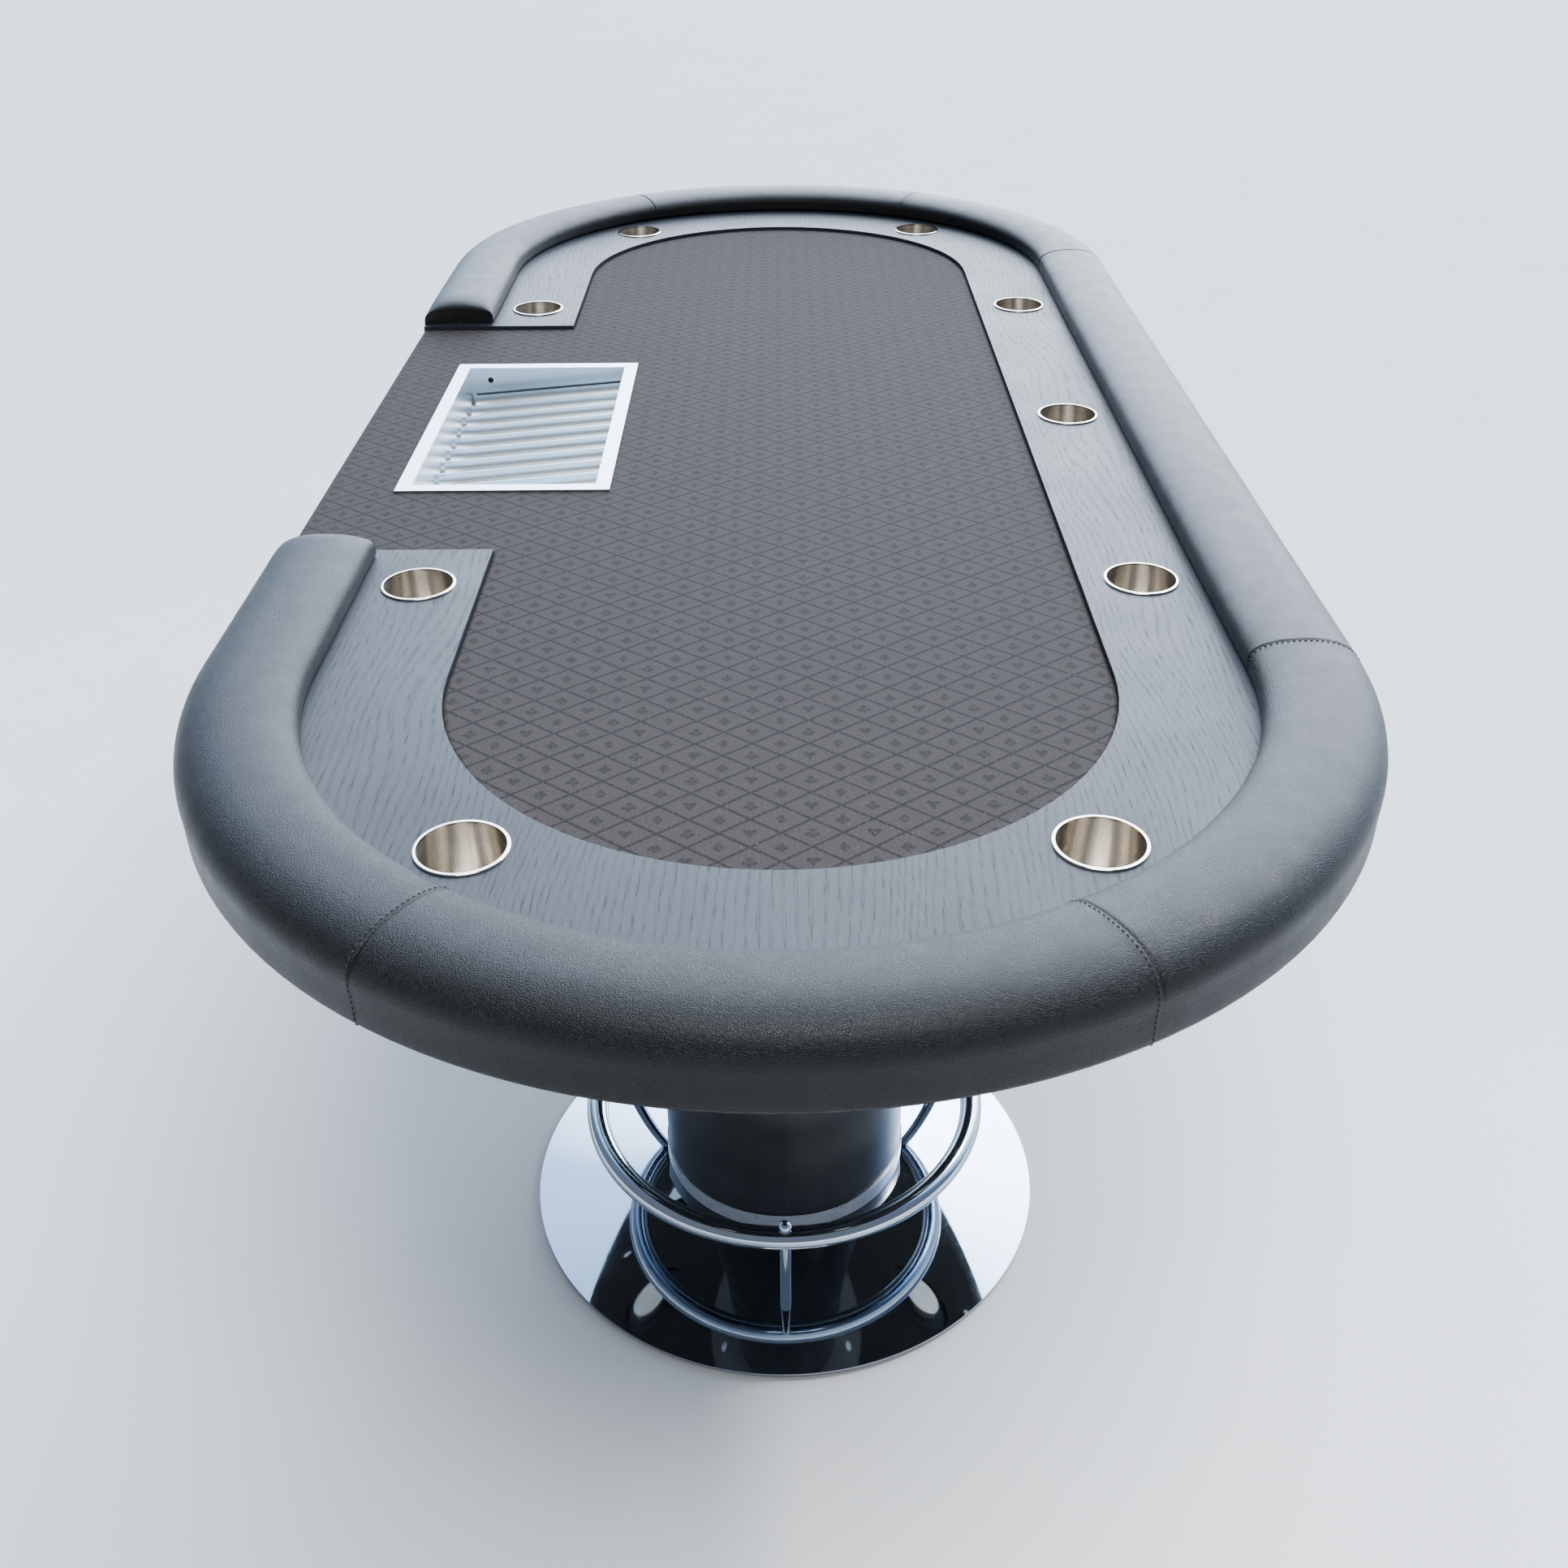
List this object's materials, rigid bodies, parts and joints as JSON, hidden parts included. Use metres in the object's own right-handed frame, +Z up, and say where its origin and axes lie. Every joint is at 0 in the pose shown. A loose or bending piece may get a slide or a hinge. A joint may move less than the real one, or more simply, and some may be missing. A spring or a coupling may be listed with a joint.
{
  "type": "casino card table",
  "caption": "Oval casino card table with a dealer cut-out, padded vinyl rail, wooden racetrack, lift-out steel cup holders, aluminium chip tray and pedestals with foot rings.",
  "frame": {"origin": "on the floor, under the middle of the table", "axes": "+X along the table to its near end, +Y to the long players' side, -Y to the dealer, +Z up"},
  "size_m": [2.452, 1.066, 0.796],
  "materials": {
    "vinyl": "black pebble-grain upholstery vinyl, satin sheen",
    "foam": "open-cell upholstery foam, hidden",
    "plywood": "birch plywood, stained black",
    "racetrack_wood": "black stained open-grain oak veneer, satin lacquer",
    "cloth": "charcoal speed cloth, woven diamond lattice with card suits",
    "cup_steel": "drawn stainless, brushed inside, polished lip",
    "tray_aluminium": "satin anodised aluminium",
    "base_chrome": "mirror polished spun steel",
    "ring_chrome": "polished chrome tube",
    "column_black": "satin black coated steel tube",
    "band_steel": "brushed stainless band",
    "plate_black": "black powder coat",
    "weight_iron": "grey cast iron, painted",
    "pad_rubber": "black rubber",
    "fastener_steel": "zinc plated steel"
  },
  "bodies": {
    "table": {"deck_board_far": "plywood", "deck_board_middle": "plywood", "deck_board_near": "plywood", "dome_nuts": "ring_chrome", "far_base_cover": "base_chrome", "far_base_weight": "weight_iron", "far_column": "column_black", "far_column_band": "band_steel", "far_floor_pads": "pad_rubber", "far_foot_ring": "ring_chrome", "far_ring_post_1": "ring_chrome", "far_ring_post_2": "ring_chrome", "far_ring_post_3": "ring_chrome", "far_tie_rod": "fastener_steel", "far_top_plate": "plate_black", "near_base_cover": "base_chrome", "near_base_weight": "weight_iron", "near_column": "column_black", "near_column_band": "band_steel", "near_floor_pads": "pad_rubber", "near_foot_ring": "ring_chrome", "near_ring_post_1": "ring_chrome", "near_ring_post_2": "ring_chrome", "near_ring_post_3": "ring_chrome", "near_tie_rod": "fastener_steel", "near_top_plate": "plate_black", "plate_screws": "fastener_steel", "playfield_board": "plywood", "playfield_cloth": "cloth", "playfield_foam": "foam", "playfield_screws": "fastener_steel", "racetrack": "racetrack_wood", "rail_board_far_end": "plywood", "rail_board_near_end": "plywood", "rail_board_player_side": "plywood", "rail_bolts": "fastener_steel", "rail_cover_dealer_far": "vinyl", "rail_cover_dealer_near": "vinyl", "rail_cover_far_corner": "vinyl", "rail_cover_far_end": "vinyl", "rail_cover_near_corner": "vinyl", "rail_cover_near_end": "vinyl", "rail_cover_player_side": "vinyl", "rail_foam_far_end": "foam", "rail_foam_near_end": "foam", "rail_foam_player_side": "foam", "tie_nuts": "fastener_steel"},
    "chip_tray": {"tray_flange": "tray_aluminium", "tray_tub": "tray_aluminium", "tray_channels": "tray_aluminium", "tray_rest_bar": "tray_aluminium"},
    "cup_1": {"cup_holder_1": "cup_steel"},
    "cup_2": {"cup_holder_2": "cup_steel"},
    "cup_3": {"cup_holder_3": "cup_steel"},
    "cup_4": {"cup_holder_4": "cup_steel"},
    "cup_5": {"cup_holder_5": "cup_steel"},
    "cup_6": {"cup_holder_6": "cup_steel"},
    "cup_7": {"cup_holder_7": "cup_steel"},
    "cup_8": {"cup_holder_8": "cup_steel"},
    "cup_9": {"cup_holder_9": "cup_steel"}
  },
  "joints": [
    {"name": "chip_tray_lift", "type": "slide", "parent": "table", "child": "chip_tray", "axis": [0, 0, 1], "range_m": [0, 0.08]},
    {"name": "cup_1_lift", "type": "slide", "parent": "table", "child": "cup_1", "axis": [0, 0, 1], "range_m": [0, 0.09]},
    {"name": "cup_2_lift", "type": "slide", "parent": "table", "child": "cup_2", "axis": [0, 0, 1], "range_m": [0, 0.09]},
    {"name": "cup_3_lift", "type": "slide", "parent": "table", "child": "cup_3", "axis": [0, 0, 1], "range_m": [0, 0.09]},
    {"name": "cup_4_lift", "type": "slide", "parent": "table", "child": "cup_4", "axis": [0, 0, 1], "range_m": [0, 0.09]},
    {"name": "cup_5_lift", "type": "slide", "parent": "table", "child": "cup_5", "axis": [0, 0, 1], "range_m": [0, 0.09]},
    {"name": "cup_6_lift", "type": "slide", "parent": "table", "child": "cup_6", "axis": [0, 0, 1], "range_m": [0, 0.09]},
    {"name": "cup_7_lift", "type": "slide", "parent": "table", "child": "cup_7", "axis": [0, 0, 1], "range_m": [0, 0.09]},
    {"name": "cup_8_lift", "type": "slide", "parent": "table", "child": "cup_8", "axis": [0, 0, 1], "range_m": [0, 0.09]},
    {"name": "cup_9_lift", "type": "slide", "parent": "table", "child": "cup_9", "axis": [0, 0, 1], "range_m": [0, 0.09]}
  ]
}
